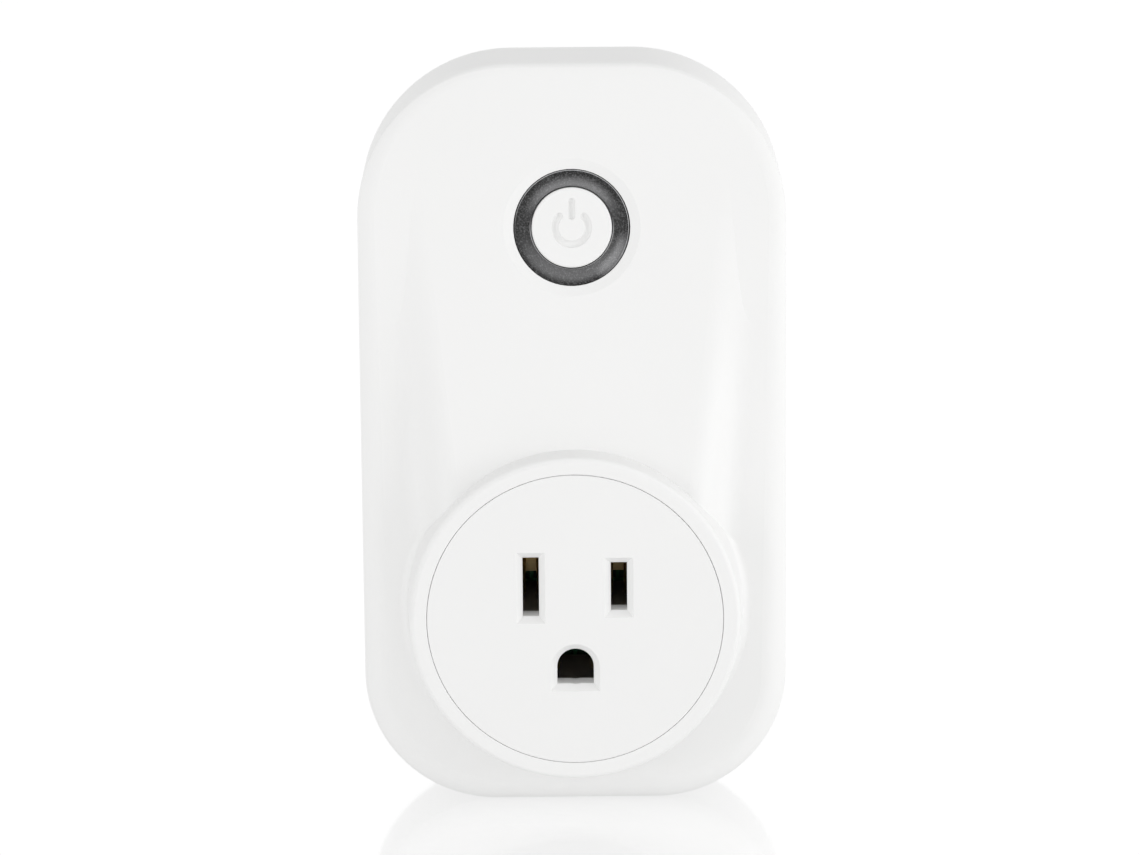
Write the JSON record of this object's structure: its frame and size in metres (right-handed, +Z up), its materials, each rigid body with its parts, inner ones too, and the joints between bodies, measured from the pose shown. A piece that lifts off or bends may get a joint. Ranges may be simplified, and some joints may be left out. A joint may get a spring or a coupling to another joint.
{
  "type": "smart plug",
  "caption": "Tall white plug-in smart switch with a grounded outlet on a round boss below a lit ring button, and blades behind.",
  "frame": {"origin": "on the flat rear face, which lies against the wall plate, midway between the two plug blades", "axes": "X to the right seen from the front, +Y out of the rear face into the wall, +Z up along the body's height"},
  "size_m": [0.0616, 0.0575, 0.1089],
  "materials": {
    "white_housing": "fine satin texture",
    "white_socket": "satin, a shade smoother than the housing",
    "white_button": "satin",
    "smoked_light_guide": "smoked, translucent, speckled",
    "carrier_plastic": "moulded, matt",
    "black_insulator": "moulded, matt",
    "white_insulator": "moulded, matt",
    "plated_brass": "bright nickel plate over brass, drawn lines",
    "spring_brass": "rolled strip",
    "screw_steel": "zinc plated",
    "circuit_board": "green solder mask over glass weave",
    "module_board": "blue solder mask",
    "shield_metal": "tinned sheet",
    "relay_housing": "moulded blue",
    "relay_iron": "soft iron, plated",
    "enamelled_copper": "wound wire",
    "copper_leaf": "spring copper",
    "contact_silver": "silver alloy, faintly dulled",
    "tinned_lead": "tinned wire",
    "capacitor_yellow": "moulded box",
    "varistor_blue": "dipped epoxy",
    "fuse_glass": "glass tube between plated caps",
    "capacitor_sleeve": "dark heat-shrink sleeve",
    "ferrite": "pressed ferrite",
    "winding_tape": "polyester tape",
    "chip_black": "moulded",
    "led_lens": "clear lens over a phosphor"
  },
  "bodies": {
    "root": {"front_housing": "white_housing", "rear_cover": "white_housing", "socket_face": "white_socket", "contact_carrier": "carrier_plastic", "light_ring": "smoked_light_guide", "plug_base": "black_insulator", "hot_blade": "plated_brass", "neutral_blade": "plated_brass", "ground_pin": "plated_brass", "hot_contact": "spring_brass", "neutral_contact": "spring_brass", "ground_contact": "spring_brass", "case_screws": "screw_steel", "board_screws": "screw_steel", "button_board_screws": "screw_steel", "main_board": "circuit_board", "button_board": "circuit_board", "wifi_board": "module_board", "wifi_shield": "shield_metal", "relay_base": "black_insulator", "relay_case": "relay_housing", "relay_yoke": "relay_iron", "relay_core": "relay_iron", "relay_bobbin": "white_insulator", "relay_coil": "enamelled_copper", "fixed_contact": "contact_silver", "relay_terminals": "tinned_lead", "film_capacitor": "capacitor_yellow", "varistor": "varistor_blue", "fuse": "fuse_glass", "bulk_capacitors": "capacitor_sleeve", "output_capacitor": "capacitor_sleeve", "transformer_core": "ferrite", "transformer_bobbin": "black_insulator", "transformer_winding": "winding_tape", "bridge_rectifier": "chip_black", "switching_chip": "chip_black", "regulator": "chip_black", "choke": "ferrite", "link_pins": "tinned_lead", "link_spacer": "black_insulator", "status_leds": "led_lens", "switch_body": "black_insulator", "switch_cover": "shield_metal", "switch_dome": "shield_metal", "switch_legs": "tinned_lead"},
    "button": {"button_cap": "white_button"},
    "plunger": {"switch_plunger": "black_insulator"},
    "armature": {"relay_armature": "relay_iron", "relay_leaf": "copper_leaf", "moving_contact": "contact_silver"}
  },
  "joints": [
    {"name": "button_press", "type": "slide", "parent": "root", "child": "button", "axis": [0, 0.9897, -0.1435], "range_m": [0, 0.0003], "stiffness_N_per_m": 1000},
    {"name": "switch_press", "type": "slide", "parent": "root", "child": "plunger", "axis": [0, 0.9897, -0.1435], "range_m": [0, 0.0003], "deforming": ["switch_dome"]},
    {"name": "relay_armature", "type": "hinge", "parent": "root", "child": "armature", "pos_m": [-0.0152, -0.0166, 0.01625], "axis": [-1, 0, 0], "range_deg": [0, 3.4], "stiffness_Nm_per_rad": 0.045}
  ],
  "couplings": [
    {"joint": "switch_press", "follows": "button_press", "ratio": 1}
  ]
}
